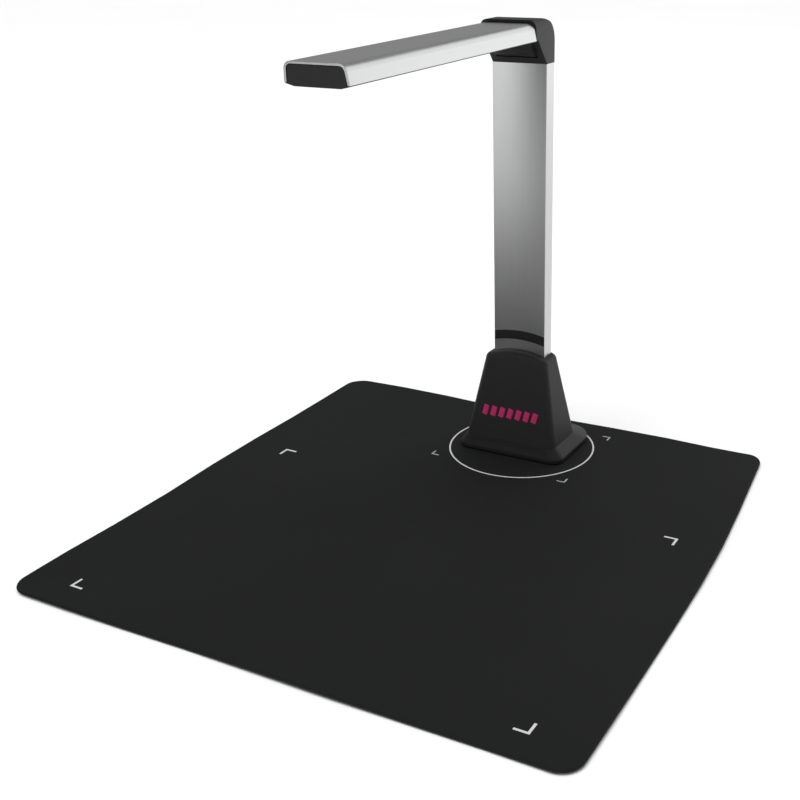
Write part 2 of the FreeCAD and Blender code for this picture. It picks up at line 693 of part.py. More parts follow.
def make_end_cap():
    inside = arm_bar(arm_wall + slip)
    below = under_bar()
    plug_start = arm_reach - cap_plug_depth
    face = arm_envelope(arm_reach - cap_thickness, arm_reach, arm_under_h, arm_top_h, arm_width)
    plug = arm_envelope(plug_start, arm_reach - cap_thickness + 0.5, arm_edge_h + 0.4, arm_top_h, arm_width)
    hollow = arm_bar(arm_wall + slip + 1.6).common(
        arm_envelope(plug_start - 1, arm_reach - cap_thickness, arm_edge_h, arm_top_h, arm_width))
    cap = join(inside.common(face), below.common(face), inside.common(plug))
    save("arm_end_cap", cut(cap, hollow))


def make_camera():
    y = hinge_y - camera_s
    board = box(-camera_board_half - 1, camera_board_half + 1, y - camera_board_half, y + camera_board_half,
                camera_board_z, rail_z)
    holes = [rod((x, hinge_y - s, camera_board_z), 1.1, board_thickness) for x, s in camera_screw_places()]
    plug = box(-6, 6, y + camera_board_half - 6, y + camera_board_half - 2, rail_z, rail_z + 1.6)
    save("camera_board", join(cut(board, *holes), plug))
    screws = [screw((x, hinge_y - s, camera_board_z), (0, 0, 1), 1.0, board_thickness + 1.8, 1.9, 1.0)
              for x, s in camera_screw_places()]
    save("camera_board_screws", *screws)
    barrel_low = arm_edge_z + 0.1
    holder_low = barrel_low + 1.1
    holder = box(-7, 7, y - 7, y + 7, holder_low, camera_board_z)
    bore = rod((0, y, holder_low), 4.5 + running, camera_board_z - holder_low - 1)
    save("lens_holder", cut(holder, bore))
    barrel = join(rod((0, y, barrel_low), 4.5, 4.6), rod((0, y, barrel_low), 5.6, 1.0))
    mouth = Part.makeCone(4.6, 3.2, 1.2, Vector(0, y, barrel_low), Vector(0, 0, 1))
    save("lens_barrel", cut(barrel, mouth, rod((0, y, barrel_low), 2.4, 4.6)))
    dome = Part.makeSphere(4.2, Vector(0, y, barrel_low + 4.4)).common(rod((0, y, barrel_low), 2.4 - running, 3))
    save("front_lens", dome)


def light_screw_places():
    """s of the two screws of the light board."""
    return (button_s - 10, light_s + light_half_length + 5)


def make_light():
    near, far = light_screw_places()
    board = box(-9, 9, hinge_y - far - 3, hinge_y - near + 3, light_board_z, light_board_z + board_thickness)
    holes = [rod((0, hinge_y - s, light_board_z), 0.95, board_thickness) for s in (near, far)]
    save("light_board", cut(board, *holes))
    screws = [screw((0, hinge_y - s, light_board_z + board_thickness), (0, 0, -1), 0.85,
                    board_thickness + 2.4, 1.7, 0.8) for s in (near, far)]
    save("light_board_screws", *screws)
    first = light_s - led_pitch * (led_count - 1) / 2
    leds = [box(-1.75, 1.75, hinge_y - s - 1.4, hinge_y - s + 1.4, light_board_z - 0.8, light_board_z)
            for s in [first + led_pitch * i for i in range(led_count)]]
    save("leds", *leds)
    y = hinge_y - button_s
    body = box(-3, 3, y - 3, y + 3, light_board_z - 1.4, light_board_z)
    save("light_switch", join(body, rod((0, y, light_board_z - 1.7), 1.6, 0.5)))


def make_button():
    """The light button: a round cap whose flange rests on the inside of the underside."""
    y = hinge_y - button_s
    cap = rod((0, y, arm_under_z - button_travel), button_radius, arm_edge_z - arm_under_z + button_travel + 0.5)
    edge = [e for e in cap.Edges if abs(e.BoundBox.ZMax - arm_under_z + button_travel) < 0.01]
    cap = cap.makeFillet(0.4, edge)
    flange = rod((0, y, arm_edge_z), button_radius + 1.1, 0.8)
    save("light_button", join(cap, flange))


def make_arm_cable():
    z = rail_z + 0.7
    save("arm_ribbon_cable", box(-5, 5, hinge_y - camera_s + camera_board_half - 2,
                                 hinge_y - arm_start - seam - 4, z, z + 0.4))


os.makedirs("parts", exist_ok=True)
make_mat()
make_column()
make_column_screws()
make_pedestal()
make_skirt()
make_base_floor()
make_ballast_and_socket()
make_usb()
make_column_cable()
make_elbow()
make_hinge()
make_arm_profile()
make_knuckle()
make_under_cover()
make_end_cap()
make_camera()
make_light()
make_button()
make_arm_cable()
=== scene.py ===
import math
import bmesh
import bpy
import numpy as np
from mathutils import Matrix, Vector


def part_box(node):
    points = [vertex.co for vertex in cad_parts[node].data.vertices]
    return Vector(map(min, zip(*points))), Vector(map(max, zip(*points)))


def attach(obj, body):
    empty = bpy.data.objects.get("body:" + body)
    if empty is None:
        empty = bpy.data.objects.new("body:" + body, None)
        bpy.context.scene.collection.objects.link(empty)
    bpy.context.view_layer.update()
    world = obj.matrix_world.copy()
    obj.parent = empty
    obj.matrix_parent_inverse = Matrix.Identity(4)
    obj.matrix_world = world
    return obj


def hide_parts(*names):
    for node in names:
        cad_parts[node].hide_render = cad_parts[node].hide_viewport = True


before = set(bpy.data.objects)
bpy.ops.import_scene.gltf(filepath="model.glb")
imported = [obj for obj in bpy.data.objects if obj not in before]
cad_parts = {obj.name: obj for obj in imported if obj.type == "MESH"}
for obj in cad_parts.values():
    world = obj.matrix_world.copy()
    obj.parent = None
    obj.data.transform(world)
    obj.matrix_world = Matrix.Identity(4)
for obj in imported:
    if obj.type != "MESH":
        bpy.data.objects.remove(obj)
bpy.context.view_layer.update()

# %% [markdown]
# # A folding document camera
# The object is a scanner stand: a soft black mat, a moulded base with a ballast inside it, a flat
# aluminium column, and an aluminium arm that folds down on a hinge. The engineering model is already
# in place, so this lesson only dresses it: smoother surfaces where light would show a facet, and a
# finish for every part. Lengths are in metres here, so a size in millimetres is multiplied by mm.

mm = 0.001

# %% [markdown]
# ## The camera
# A view is three things: where the eye is, which way it looks, and how wide it sees. The axes of a
# camera are right, up and backwards, so its matrix is those three vectors as columns, and its place.
# The object stands off the middle of the frame, and a small shift of the sensor gives that
# without turning the camera, which would change the perspective.

# %% Camera
eye = Vector((380.2, -642.0, 400.2)) * mm
ahead = Vector((-0.4453, 0.8102, -0.3813)).normalized()
level = Vector((0.8794, 0.4757, -0.0163))
right = (level - ahead * level.dot(ahead)).normalized()
up = right.cross(ahead)
camera = bpy.data.objects.new("camera", bpy.data.cameras.new("camera"))
bpy.context.scene.collection.objects.link(camera)
camera.matrix_world = Matrix.Translation(eye) @ Matrix((right, up, -ahead)).transposed().to_4x4()
camera.data.lens = 54.46
camera.data.sensor_width = 36.0
camera.data.shift_x = -0.0811
camera.data.shift_y = -0.0019
camera.data.clip_start = 0.01
bpy.context.scene.camera = camera
print("the eye is", round((eye - Vector((0, 0.138, 0))).length, 3), "m from the foot of the column")

# %% [markdown]
# ## Shader arithmetic
# A finish in Blender is a graph of nodes, and wiring it by hand hides the idea behind it. A small
# class can hold one output socket and turn Python's own operators into Math nodes, so that
# 0.3 + 0.1 * grain reads as the formula it is. The reflected forms let a plain number stand first.

# %% A socket that does arithmetic
class Value:
    """One output socket of a graph. Arithmetic on it adds Math nodes to the same graph."""

    def __init__(self, graph, socket):
        self.graph, self.socket = graph, socket

    def maths(self, operation, first, second):
        return self.graph.add("ShaderNodeMath", {"operation": operation}, {0: first, 1: second})

    def __add__(self, other):
        return self.maths("ADD", self, other)

    def __radd__(self, other):
        return self.maths("ADD", other, self)

    def __mul__(self, other):
        return self.maths("MULTIPLY", self, other)

    def __rmul__(self, other):
        return self.maths("MULTIPLY", other, self)


# %% [markdown]
# ## Graphs and finishes
# One method adds any node: its settings are made first, because they can change which sockets it
# has, and then the sockets get their values or links. Every material here is made the same way: it
# reads the place on the object in metres, works out a few patterns of noise, and hands them to one
# Principled shader. The sky is a graph too, so the method lives in a class that both can use.

# %% The graph and finish classes
class Graph:
    """A tree of nodes under construction, for a finish or for the sky."""

    def __init__(self, tree):
        self.tree = tree
        self.tree.nodes.clear()

    def add(self, kind, settings=None, sockets=None, output=0):
        """Adds a node: its settings, then its sockets, and gives one of its outputs."""
        node = self.tree.nodes.new(kind)
        for name, setting in (settings or {}).items():
            setattr(node, name, setting)
        for key, value in (sockets or {}).items():
            if isinstance(value, Value):
                self.tree.links.new(value.socket, node.inputs[key])
            else:
                node.inputs[key].default_value = value
        return None if output is None else Value(self, node.outputs[output])

    def mix(self, share, first, second):
        """A colour on the way from first to second."""
        return self.add("ShaderNodeMix", {"data_type": "RGBA"}, {0: share, 6: first, 7: second}, 2)


class Finish(Graph):
    """A material under construction."""

    def __init__(self, name):
        self.material = bpy.data.materials.new(name)
        self.material.use_nodes = True
        super().__init__(self.material.node_tree)
        self.place = self.add("ShaderNodeTexCoord", output="Object")

    def noise(self, per_metre, detail=2.0, stretch=(1.0, 1.0, 1.0)):
        """Soft noise from 0 to 1, with that many waves in a metre, times stretch along each axis."""
        scale = tuple(per_metre * share for share in stretch)
        place = self.add("ShaderNodeMapping", {}, {"Vector": self.place, "Scale": scale})
        return self.add("ShaderNodeTexNoise", {}, {"Vector": place, "Scale": 1.0, "Detail": detail})

    def cells(self, per_metre):
        """Distance to the nearest of many scattered points: 0 at a point, about 0.6 between them."""
        return self.add("ShaderNodeTexVoronoi", {}, {"Vector": self.place, "Scale": per_metre}, "Distance")

    def step(self, value, low, high):
        """0 below low, 1 above high, with a smooth rise between."""
        return self.add("ShaderNodeMapRange", {"interpolation_type": "SMOOTHSTEP"},
                        {"Value": value, "From Min": low, "From Max": high})

    def sine(self, value):
        """The sine of a value in radians."""
        return self.add("ShaderNodeMath", {"operation": "SINE"}, {0: value})

    def shade(self, sockets, relief=None, height=0.0):
        """Ends the material: a Principled shader with those sockets, and relief as bumps that high."""
        if relief is not None:
            sockets["Normal"] = self.add("ShaderNodeBump", {}, {"Height": relief, "Distance": height})
        shader = self.add("ShaderNodeBsdfPrincipled", {}, sockets)
        self.add("ShaderNodeOutputMaterial", {}, {"Surface": shader}, output=None)
        print("finish", self.material.name, "with", len(self.tree.nodes), "nodes")
        return self.material


def grey(value, warmth=0.0):
    """A neutral colour, a little warmer or cooler."""
    return (value * (1 + warmth), value, value * (1 - warmth), 1.0)


# %% [markdown]
# ## Aluminium
# The column and the arm are drawn aluminium, blasted and anodised silver. The blast leaves a frost
# finer than a hair, and the drawing leaves faint lines along the bar. Both scatter light, so they
# belong in the roughness more than in the colour. Noise squeezed along one axis makes the lines.

# %% Satin anodised aluminium
def satin_aluminium(name, stretch):
    finish = Finish(name)
    lines = finish.noise(900.0, 3.0, stretch)
    frost = finish.noise(5200.0, 1.0)
    cloud = finish.noise(16.0, 2.0)
    colour = finish.mix(0.6 * lines + 0.4 * cloud, grey(0.52, -0.006), grey(0.59, -0.004))
    return finish.shade({"Base Color": colour, "Metallic": 1.0,
                         "Roughness": 0.25 + 0.08 * lines + 0.05 * cloud},
                        0.5 * frost + 0.5 * lines, 0.006 * mm)


column_metal = satin_aluminium("satin_aluminium_column", (1.0, 1.0, 0.012))
arm_metal = satin_aluminium("satin_aluminium_arm", (1.0, 0.012, 1.0))


# %% [markdown]
# ## Black moulded plastic
# The base and the elbow are black ABS from a spark-eroded mould. The mould's pits print a fine
# orange-peel on the plastic, so the gloss is broken and the black looks slightly grey. Noise at
# about half a millimetre gives the pits, and a broad cloud gives the traces of handling.

# %% Black plastic
def black_plastic(name, base=0.011, rough=0.46):
    finish = Finish(name)
    pits = finish.noise(1900.0, 2.0)
    cells = finish.cells(1300.0)
    handling = finish.noise(28.0, 3.0)
    colour = finish.mix(finish.step(pits, 0.35, 0.75), grey(base, -0.02), grey(base * 1.6, -0.02))
    return finish.shade({"Base Color": colour, "Roughness": rough + 0.10 * handling + 0.06 * pits,
                         "Specular IOR Level": 0.32},
                        0.6 * pits + 0.4 * cells, 0.02 * mm)


shell_plastic = black_plastic("textured_black_plastic")
elbow_plastic = black_plastic("elbow_black_plastic", 0.013, 0.42)


# %% [markdown]
# ## The mat's rubber
# A scanner mat is thin rubber with a pressed leather grain, so that paper doesn't slide and the
# camera sees no glare. Cells at a millimetre give the grain, and finer noise breaks them up.

# %% Mat rubber and its white print
def mat_rubber():
    finish = Finish("black_mat_rubber")
    grain = finish.cells(1100.0)
    dust = finish.noise(2600.0, 2.0)
    cloud = finish.noise(9.0, 2.0)
    colour = finish.mix(0.5 * dust + 0.5 * cloud, grey(0.0065, -0.03), grey(0.0125, -0.03))
    return finish.shade({"Base Color": colour, "Roughness": 0.66 + 0.16 * dust,
                         "Specular IOR Level": 0.22},
                        0.7 * grain + 0.3 * dust, 0.035 * mm)


def screen_print(name, full, thin):
    """Ink through a screen: nearly even, with pinholes where the grain lifts it."""
    finish = Finish(name)
    pinholes = finish.step(finish.noise(1500.0, 3.0), 0.60, 0.78)
    return finish.shade({"Base Color": finish.mix(pinholes, full, thin),
                         "Roughness": 0.55 + 0.1 * pinholes}, pinholes, 0.01 * mm)


rubber = mat_rubber()
white_ink = screen_print("white_print", grey(0.55), grey(0.33))
faint_ink = screen_print("grey_print", grey(0.36), grey(0.2))
magenta_ink = screen_print("magenta_print", (0.52, 0.010, 0.13, 1.0), (0.36, 0.008, 0.09, 1.0))


# %% [markdown]
# ## Surfaces from grids
# Every new piece below is a grid of points, worked out for the whole piece at once. One direction
# runs along the piece and the other goes round it, and neighbouring points become four-sided
# faces. Points that fall on one another, as at a pole, are welded. The signed volume tells whether
# the faces look outwards: where it is negative, every face is turned over.

# %% From a grid to a piece
def signed_volume(points, faces):
    """The sum over the faces of the volume between each face and the origin."""
    a, b, c, d = (points[faces[:, i]] for i in range(4))
    half_one = np.einsum("ij,ij->i", a, np.cross(b, c))
    half_two = np.einsum("ij,ij->i", a, np.cross(c, d))
    return (half_one.sum() + half_two.sum()) / 6


def grid_faces(along, around, ends):
    """Four-sided faces of a grid that closes round, and also lengthways where ends is "joined"."""
    rows = along if ends == "joined" else along - 1
    row, column = np.meshgrid(np.arange(rows), np.arange(around), indexing="ij")
    next_row, next_column = (row + 1) % along, (column + 1) % around
    corners = [row * around + column, next_row * around + column,
               next_row * around + next_column, row * around + next_column]
    return np.stack([c.ravel() for c in corners], axis=1)


def piece_from(name, patches, body, finish, sharp=32.0, weighted=True):
    """One piece from one or more closed grids in millimetres, riding on a body."""
    points, faces, count = [], [], 0
    for grid, ends in patches:
        if ends == "fan":
            first, last = (np.repeat(row.mean(axis=0)[None, None], grid.shape[1], axis=1)
                           for row in (grid[0], grid[-1]))
            grid = np.concatenate([first, grid, last])
        flat = grid.reshape(-1, 3) * mm
        quads = grid_faces(grid.shape[0], grid.shape[1], ends)
        if signed_volume(flat, quads) < 0:
            quads = quads[:, ::-1]
        points.append(flat)
        faces.append(quads + count)
        count += len(flat)
    mesh = bpy.data.meshes.new(name)
    mesh.from_pydata(np.concatenate(points), [], np.concatenate(faces))
    weld(mesh)
    mesh.shade_smooth()
    mesh.set_sharp_from_angle(angle=math.radians(sharp))
    return finished(name, mesh, body, finish, weighted)


def weld(mesh):
    """Joins points that lie on one another, so that shading can run over them."""
    work = bmesh.new()
    work.from_mesh(mesh)
    bmesh.ops.remove_doubles(work, verts=work.verts, dist=0.0005 * mm)
    bmesh.ops.dissolve_degenerate(work, dist=0.0005 * mm, edges=work.edges)
    work.to_mesh(mesh)
    work.free()


def finished(name, mesh, body, finish, weighted=True):
    """The piece in the scene. Weighted normals let the large flat faces stay flat beside a curve."""
    piece = bpy.data.objects.new(name, mesh)
    bpy.context.scene.collection.objects.link(piece)
    mesh.materials.append(finish)
    if weighted:
        steady = piece.modifiers.new("steady_normals", "WEIGHTED_NORMAL")
        steady.keep_sharp = True
        steady.weight = 100
    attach(piece, body)
    low, high = (np.array(piece.bound_box)[[0, 6]] / mm).round(1)
    print(name, "from", low.tolist(), "to", high.tolist(), "mm,", len(mesh.polygons), "faces")
    return piece


# %% [markdown]
# ## The places of things
# A node's box in the engineering model gives its place. The stand was drawn about the centre of
# the ring on the mat, which lies a known distance behind the front of the foot.

# %% Places from the engineering model
def span(node):
    """Lowest and highest corner of a node, in millimetres."""
    return [np.array(corner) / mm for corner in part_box(node)]


mat_low, mat_high = span("scan_mat")
foot_low, foot_high = span("foot_skirt")
foot_front = -22.5  # of the foot's front edge, from the ring's centre
ring = np.array([0.0, foot_low[1] - foot_front, mat_high[2]])
print("the ring's centre, mm:", ring.round(2).tolist())


# %% [markdown]
# ## A rounded outline
# The mat and the foot are rectangles with rounded corners. The outline is four arcs and the four
# straight runs between them, always with the same number of points, so that outlines of different
# sizes can be joined point to point. A few points stand close to each arc, which keeps the flat
# sides flat in the shading.

# %% Rounded outline
arc_steps = np.linspace(0.0, 90.0, 10)
run_steps = np.array([0.02, 0.1, 0.22, 0.36, 0.5, 0.64, 0.78, 0.9, 0.98])
per_corner = len(arc_steps) + len(run_steps)
corner_of = np.repeat(np.arange(4), per_corner)
turn_of = np.tile(np.concatenate([arc_steps, np.full(len(run_steps), 90.0)]), 4) + 90.0 * corner_of
share_of = np.tile(np.concatenate([np.zeros(len(arc_steps)), run_steps]), 4)


def rounded_outline(half, front, rear, front_corner, rear_corner):
    """x and y round the outline, from the rear right corner, anticlockwise. An arc's point is its
    centre plus its radius times (cos turn, sin turn); a run's point is a share of the way from
    one arc's end to the next arc's start."""
    side = np.array([1, -1, -1, 1])

    def on_arc(corner, turn):
        at_rear = corner < 2
        radius = np.where(at_rear, rear_corner, front_corner)
        x = side[corner] * (half - radius) + radius * np.cos(np.radians(turn))
        y = np.where(at_rear, rear - radius, front + radius) + radius * np.sin(np.radians(turn))
        return x, y

    x0, y0 = on_arc(corner_of, turn_of)
    following = (corner_of + 1) % 4
    x1, y1 = on_arc(following, 90.0 * following)
    return x0 + share_of * (x1 - x0), y0 + share_of * (y1 - y0)


def column_of(values):
    """A list as one column, so that it varies along a grid and not round it."""
    return np.array(values, float)[:, None]


def stack(x, y, z):
    """Three arrays broadcast against one another into one grid of points."""
    return np.stack(np.broadcast_arrays(x, y, z), axis=-1)


# %% [markdown]
# ## The mat
# A mat that has been rolled up never lies quite flat: its rim lifts by a millimetre in slow waves,
# and its cut edge wanders. Cloth simulation could settle it, but it is stiff rubber, and slow sine
# waves that grow towards the rim say the same thing in one line. Where the stand rests, the lift
# is nought. The right rear corner is drawn inwards, because this mat's own edge isn't straight
# there. It is laid out flat, with nothing on it but the stand.

# %% Mat surface
mat_corner = 14.0
mat_thickness = mat_high[2] - mat_low[2]
rim_lift = 1.6
rear_pull = 19.0  # how far the right rear corner is drawn in
edge_wander = 0.5
flat_radius, fade = 64.0, 40.0  # round the ring the mat stays flat this far, then lifts over the fade


def mat_lift(x, y):
    """Height of the mat's underside above the table: the tenth power of the way out to the rim,
    times a slow wave, held down to nought around the printed ring where the stand weighs on it."""
    out = np.maximum(np.abs(x) / mat_high[0], np.abs(y) / mat_high[1])
    wave = 0.5 + 0.3 * np.sin(x / 31.0 + 0.6 * np.sin(y / 47.0)) + 0.2 * np.sin(y / 26.0 + 1.1)
    free = np.clip((np.hypot(x - ring[0], y - ring[1]) - flat_radius) / fade, 0, 1)
    return rim_lift * np.clip(out, 0, 1) ** 10 * wave * free


def mat_shift(x, y):
    """The cut's wander, and the pull inwards: the square of the way to the rear times the cube of
    the way to the right."""
    to_rear = np.clip((y + 100.0) / 300.0, 0, 1)
    to_right = np.clip(x / mat_high[0], 0, 1)
    wander_x = edge_wander * np.sin(y / 33.0 + 0.5) * (x / mat_high[0]) ** 3
    wander_y = edge_wander * np.sin(x / 29.0) * (y / mat_high[1]) ** 3
    return x - rear_pull * to_rear ** 2 * to_right ** 3 + wander_x, y + wander_y


rim_turn = np.radians(np.linspace(90.0, -90.0, 9))
inwards = np.concatenate([[1.0, 0.9, 0.78, 0.65, 0.52, 0.4, 0.28, 0.16, 0.08, 0.03, 0.012, 0.004],
                          np.zeros(9), [0.004, 0.012, 0.03, 0.08, 0.2, 0.4, 0.7, 1.0]])
rim_inset = np.concatenate([np.full(12, 0.9), 0.9 * (1 - np.cos(rim_turn)), np.full(8, 0.9)])
rim_height = np.concatenate([np.full(12, 1.0), 0.5 + 0.5 * np.sin(rim_turn), np.zeros(8)])
rim_x, rim_y = rounded_outline(mat_high[0] - column_of(rim_inset), mat_low[1] + column_of(rim_inset),
                               mat_high[1] - column_of(rim_inset), mat_corner, mat_corner)
x = rim_x * (1 - column_of(inwards))
y = rim_y * (1 - column_of(inwards))
shifted_x, shifted_y = mat_shift(x, y)
mat_z = mat_lift(x, y) + mat_thickness * column_of(rim_height)
mat = piece_from("mat", [(stack(shifted_x, shifted_y, mat_z), "open")], "mat", rubber,
                 sharp=60, weighted=False)
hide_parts("scan_mat")


# %% [markdown]
# ## The print on the mat
# A ring shows where the stand goes, and corner marks show where a page goes. They could be part of
# the mat's colour, but a line a millimetre wide would then need a very fine image.
# Thin ribbons of ink on the surface stay sharp at any distance.

# %% Ribbons of ink
ink = 0.07


def ribbon(path, width, height=ink, sunk=0.05):
    """A flat strip along a path in a plane: at each point it reaches half its width along the
    path's normal, longer by 1 / cos(half the bend) so that a corner keeps its width. The grid
    holds (along x, along y, out of the plane)."""
    path = np.array(path, float)
    steps = np.diff(path, axis=0)
    steps = steps / np.linalg.norm(steps, axis=1)[:, None]
    before = np.concatenate([steps[:1], steps])
    after = np.concatenate([steps, steps[-1:]])
    mean = before + after
    mean = mean / np.linalg.norm(mean, axis=1)[:, None]
    reach = 0.5 * width / np.sum(mean * before, axis=1)[:, None]
    normal = np.stack([-mean[:, 1], mean[:, 0]], axis=1) * reach
    right_half = [(1.0, -sunk), (1.0, 0.6 * height), (0.96, height)]
    around = right_half + [(-side, out) for side, out in right_half[::-1]]
    return np.stack([np.concatenate([path + side * normal, np.full((len(path), 1), out)], axis=1)
                     for side, out in around], axis=1)


def on_mat(grid):
    """Lays a grid on the mat's top, which follows the mat's lift."""
    x, y = grid[..., 0], grid[..., 1]
    return stack(x, y, grid[..., 2] + mat_thickness + mat_lift(x, y))


ring_radius, ring_line = 56.2, 1.25
turns = np.linspace(0, 2 * np.pi, 145)[:-1]
cross = np.array([(0.5, -0.05), (0.5, 0.04), (0.48, ink), (-0.48, ink), (-0.5, 0.04), (-0.5, -0.05)])
reach = ring_radius + ring_line * cross[:, 0]
print_x, print_y = ring[0] + 1.8, ring[1] - 0.5
ring_grid = stack(print_x + np.cos(turns)[:, None] * reach, print_y + np.sin(turns)[:, None] * reach,
                  np.broadcast_to(cross[:, 1], (len(turns), len(cross))))
piece_from("ring_print", [(on_mat(ring_grid), "joined")], "mat", white_ink, weighted=False)


def corner_marks(centre, half_width, half_depth, arm, width):
    """Four L-shaped marks at the corners of a rectangle, each open towards its middle."""
    marks = []
    for sx, sy in ((1, 1), (-1, 1), (-1, -1), (1, -1)):
        x, y = centre[0] + sx * half_width, centre[1] + sy * half_depth
        marks.append((on_mat(ribbon([(x - sx * arm, y), (x, y), (x, y - sy * arm)], width)), "fan"))
    return marks


page_centre = ring[:2] + np.array([0.0, -203.4])
page_corners = corner_marks(page_centre, half_width=160.3, half_depth=114.6, arm=9.0, width=1.7)
piece_from("page_marks", page_corners, "mat", white_ink, weighted=False)
stand_corners = corner_marks((print_x, print_y + 1.0), half_width=56.0, half_depth=44.5, arm=6.0, width=1.1)
piece_from("small_marks", stand_corners, "mat", faint_ink, weighted=False)


# %% [markdown]
# ## The column
# A flat tube is one outline carried upwards. Its front is a shallow scoop, an arc whose middle lies
# 1.2 mm behind its edges, and that scoop is what makes the light slide from bright to dark across
# it. The wall is a second outline inside the first: each outer point is pushed to the nearest
# point of the inner rectangle. Outer wall, top, inner wall and bottom join into one closed surface.

# %% Column surface
column_low, column_high = span("column_profile")
column_wall, column_scoop = 1.6, 1.2
half_width = column_high[0]
front_y, rear_y = column_low[1], column_high[1]
scoop_radius = (half_width ** 2 + column_scoop ** 2) / (2 * column_scoop)


def scoop_y(x):
    """y of the column's front: the edge's y, plus the scoop's depth there."""
    return front_y + column_scoop - (scoop_radius - np.sqrt(scoop_radius ** 2 - x ** 2))


def eased(start, corner, end, steps=6):
    """A corner turned by a quadratic curve: (1-t)^2 start + 2t(1-t) corner + t^2 end."""
    t = np.linspace(0, 1, steps)[:, None]
    return (1 - t) ** 2 * np.array(start) + 2 * t * (1 - t) * np.array(corner) + t ** 2 * np.array(end)


edge, back = 0.35, 1.5
front_x = np.linspace(-half_width + edge, half_width - edge, 41)
front_line = np.stack([front_x, scoop_y(front_x)], axis=1)
edge_y = scoop_y(half_width)
right_front = eased(front_line[-1], (half_width, edge_y), (half_width, edge_y + edge))
right_back = eased((half_width, rear_y - back), (half_width, rear_y), (half_width - back, rear_y), 9)
left_back = right_back[::-1] * (-1, 1)
left_front = right_front[::-1] * (-1, 1)
outer = np.concatenate([front_line, right_front, right_back, left_back, left_front])
inner = np.stack([np.clip(outer[:, 0], -half_width + column_wall, half_width - column_wall),
                  np.clip(outer[:, 1], front_y + column_scoop + column_wall, rear_y - column_wall)], axis=1)
levels = np.linspace(column_low[2], column_high[2], 24)
tube = np.concatenate([stack(outer[:, 0], outer[:, 1], levels[:, None]),
                       stack(inner[:, 0], inner[:, 1], levels[::-1, None])])
column = piece_from("column", [(tube, "joined")], "stand", column_metal)
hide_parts("column_profile")


# %% [markdown]
# ## The trim band
# A narrow dark strip crosses the column's front low down, higher in the middle than at its ends.
# It follows the scoop, so its grid takes its depth from the same formula as the column.

# %% Trim band and its finish
def gloss_trim():
    finish = Finish("dark_gloss_trim")
    haze = finish.noise(60.0, 3.0)
    colour = finish.mix(haze, grey(0.012), grey(0.02))
    return finish.shade({"Base Color": colour, "Roughness": 0.16 + 0.12 * haze, "Coat Weight": 0.3},
                        finish.noise(3000.0), 0.002 * mm)


trim = gloss_trim()
band_low, band_high = span("column_trim_band")
band_rise = 2.2
band_height = band_high[2] - band_low[2] - band_rise
band_x = np.linspace(-half_width + 0.3, half_width - 0.3, 41)
arch = band_rise * (1 - (band_x / half_width) ** 2)
across = np.array([(0.0, -0.3), (0.0, 0.1), (0.03, 0.16), (0.97, 0.16), (1.0, 0.1), (1.0, -0.3)])
band_grid = stack(band_x[:, None], scoop_y(band_x)[:, None] - across[:, 1],
                  band_low[2] + arch[:, None] + band_height * across[:, 0])
band = piece_from("trim_band", [(band_grid, "fan")], "stand", trim)
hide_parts("column_trim_band")


# %% [markdown]
# ## The foot
# The foot flares out from under the pedestal to a low rim. Its outside is a list of outlines at
# rising heights, its inside is the same list smaller by the wall, and the two are joined along the
# rim and along the top. The edges are eased by a few tenths of a millimetre, because a real
# moulding has no sharp edge, and the bright line on an edge is what tells the eye its size.

# %% Foot surface
crease_z = foot_high[2]
floor_gap = foot_low[2]
rim_z = ring[2] + 4.0
wall = 2.4


def foot_at(rise, inset):
    """The outline at a share of the way from the rim to the crease, drawn in by inset."""
    low = np.array([44.0, foot_front, 50.0, 9.0, 24.0])  # half width, front, rear, the two corners
    high = np.array([37.5, -21.0, 23.5, 7.0, 7.0])
    half, front, rear, front_r, rear_r = np.moveaxis(low + rise[..., None] * (high - low), -1, 0)
    x, y = rounded_outline(half - inset, front + inset, rear - inset, front_r - inset, rear_r - inset)
    return x, y + ring[1]


foot_rows = np.array([  # height, share of the flare, inset
    (floor_gap + 0.0, 0.0, 0.5), (floor_gap + 0.15, 0.0, 0.15), (floor_gap + 0.5, 0.0, 0.0),
    (rim_z - 0.5, 0.0, 0.0), (rim_z - 0.1, 0.0, 0.12), (rim_z + 0.25, 0.04, 0.1),
    (rim_z + 1.5, 0.19, 0.15), (rim_z + 3.5, 0.44, 0.2), (rim_z + 5.5, 0.69, 0.12),
    (crease_z - 0.5, 0.94, 0.0), (crease_z - 0.2, 0.98, 0.02), (crease_z, 1.0, 0.35),
    (crease_z, 1.0, wall), (rim_z, 0.0, wall), (floor_gap, 0.0, wall)])
height, rise, inset = (foot_rows[:, i:i + 1] for i in range(3))
foot_x, foot_y = foot_at(rise, inset)
foot = piece_from("foot", [(stack(foot_x, foot_y, height), "joined")], "stand", shell_plastic)
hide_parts("foot_skirt")


# %% [markdown]
# ## The arm
# The arm is another drawn bar: a channel with a flat top, rounded shoulders and sides that flare
# slightly, open below. Its section is a path from one lower edge over the top to the other, and
# both ends lean, so a point's place along the arm depends on its height. Going round the wall,
# outside and inside, and closing each lower edge on its middle line makes one closed surface.

# %% Arm surface
arm_low, arm_high = span("arm_profile")
pin_low, pin_high = span("hinge_pin")
axis_y = (pin_low[1] + pin_high[1]) / 2
arm_reach, arm_start, arm_wall = 242.0, 15.3, 1.5
shoulder = 4.8
side_half = arm_high[0] - 0.8
lean = 2.0 / 13.5


